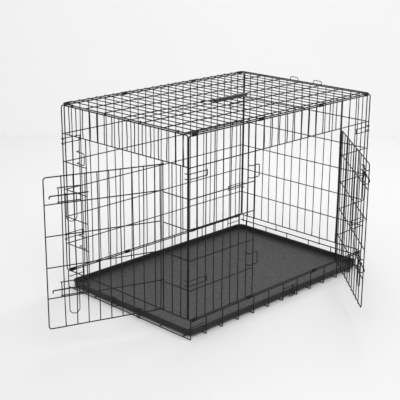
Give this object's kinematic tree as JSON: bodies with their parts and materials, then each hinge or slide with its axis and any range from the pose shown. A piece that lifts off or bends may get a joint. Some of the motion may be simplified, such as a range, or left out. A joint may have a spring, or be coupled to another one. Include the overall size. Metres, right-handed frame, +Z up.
{
  "type": "folding wire dog crate",
  "caption": "Folding wire dog crate with an end door, a side door, slide latches, a pull-out plastic pan and a carry handle.",
  "frame": {"origin": "on the ground at the middle of the cage", "axes": "+X along the cage towards the far end, +Y towards the back, +Z up"},
  "size_m": [1.5048, 1.1156, 0.8085],
  "materials": {
    "coated_wire": "satin black coating over steel wire",
    "latch_wire": "satin black coating, worn where it slides",
    "clip_steel": "black coated strip steel",
    "pan_plastic": "finely grained black plastic",
    "grip_plastic": "ribbed black plastic"
  },
  "bodies": {
    "crate": {"base_floor_grid": "coated_wire", "base_front_upstand": "coated_wire", "base_back_upstand": "coated_wire", "base_far_upstand": "coated_wire", "side_front_edge": "coated_wire", "side_front_near": "coated_wire", "side_front_far": "coated_wire", "side_front_header": "coated_wire", "side_panel_back": "coated_wire", "top_panel": "coated_wire", "top_loops": "coated_wire", "clips_top_front": "clip_steel", "clips_top_back": "clip_steel", "clips_base_front": "clip_steel", "clips_base_back": "clip_steel", "catch_front_near": "coated_wire", "catch_back_near": "coated_wire", "catch_front_far": "coated_wire", "catch_back_far": "coated_wire", "side_keepers": "coated_wire"},
    "near_end": {"near_end_edge": "coated_wire", "near_end_front": "coated_wire", "near_end_back": "coated_wire", "near_end_header": "coated_wire", "near_end_eyes": "coated_wire", "end_keepers": "coated_wire"},
    "far_end": {"far_end_panel": "coated_wire", "far_end_hooks": "coated_wire"},
    "end_door": {"end_door": "coated_wire", "end_door_guides": "coated_wire"},
    "end_bolt_upper": {"end_bolt_upper": "latch_wire"},
    "end_bolt_lower": {"end_bolt_lower": "latch_wire"},
    "end_pull_upper": {"end_pull_upper": "latch_wire"},
    "end_pull_lower": {"end_pull_lower": "latch_wire"},
    "side_door": {"side_door": "coated_wire", "side_door_guides": "coated_wire"},
    "side_bolt_upper": {"side_bolt_upper": "latch_wire"},
    "side_bolt_lower": {"side_bolt_lower": "latch_wire"},
    "side_pull_upper": {"side_pull_upper": "latch_wire"},
    "side_pull_lower": {"side_pull_lower": "latch_wire"},
    "pan": {"pan": "pan_plastic", "pan_clips": "coated_wire"},
    "handle": {"handle_bail": "coated_wire", "handle_grip": "grip_plastic"},
    "fold_hook": {"fold_hook": "coated_wire"}
  },
  "joints": [
    {"name": "near_end_fold", "type": "hinge", "parent": "crate", "child": "near_end", "pos_m": [-0.531, 0, 0.787], "axis": [0, -1, 0], "range_deg": [0, 7]},
    {"name": "far_end_fold", "type": "hinge", "parent": "crate", "child": "far_end", "pos_m": [0.5335, 0, 0.053], "axis": [0, -1, 0], "range_deg": [0, 88]},
    {"name": "end_door_hinge", "type": "hinge", "parent": "near_end", "child": "end_door", "pos_m": [-0.5335, -0.221, 0], "axis": [0, 0, 1], "range_deg": [-70, 70]},
    {"name": "side_door_hinge", "type": "hinge", "parent": "crate", "child": "side_door", "pos_m": [0.347, -0.3605, 0], "axis": [0, 0, 1], "range_deg": [-47.7, 92]},
    {"name": "end_bolt_upper_slide", "type": "slide", "parent": "end_door", "child": "end_bolt_upper", "axis": [-0.9397, 0.342, 0], "range_m": [0, 0.024]},
    {"name": "end_pull_upper_swing", "type": "hinge", "parent": "end_bolt_upper", "child": "end_pull_upper", "pos_m": [-0.86749, -0.10944, 0.5865], "axis": [-0.9397, 0.342, 0], "range_deg": [0, 110]},
    {"name": "end_bolt_lower_slide", "type": "slide", "parent": "end_door", "child": "end_bolt_lower", "axis": [-0.9397, 0.342, 0], "range_m": [0, 0.024]},
    {"name": "end_pull_lower_swing", "type": "hinge", "parent": "end_bolt_lower", "child": "end_pull_lower", "pos_m": [-0.86749, -0.10944, 0.2355], "axis": [-0.9397, 0.342, 0], "range_deg": [0, 110]},
    {"name": "side_bolt_upper_slide", "type": "slide", "parent": "side_door", "child": "side_bolt_upper", "axis": [-0.673, -0.7396, 0], "range_m": [0, 0.024]},
    {"name": "side_pull_upper_swing", "type": "hinge", "parent": "side_bolt_upper", "child": "side_pull_upper", "pos_m": [0.06388, -0.68561, 0.5925], "axis": [-0.673, -0.7396, 0], "range_deg": [0, 110]},
    {"name": "side_bolt_lower_slide", "type": "slide", "parent": "side_door", "child": "side_bolt_lower", "axis": [-0.673, -0.7396, 0], "range_m": [0, 0.024]},
    {"name": "side_pull_lower_swing", "type": "hinge", "parent": "side_bolt_lower", "child": "side_pull_lower", "pos_m": [0.06388, -0.68561, 0.2415], "axis": [-0.673, -0.7396, 0], "range_deg": [0, 110]},
    {"name": "pan_slide", "type": "slide", "parent": "crate", "child": "pan", "axis": [-1, 0, 0], "range_m": [0, 0.95]},
    {"name": "carry_handle_swing", "type": "hinge", "parent": "crate", "child": "handle", "pos_m": [-0.008, 0, 0.787], "axis": [-1, 0, 0], "range_deg": [0, 100]},
    {"name": "fold_hook_swing", "type": "hinge", "parent": "crate", "child": "fold_hook", "pos_m": [0.062, -0.3611, 0.048], "axis": [-1, 0, 0], "range_deg": [0, 120]}
  ]
}
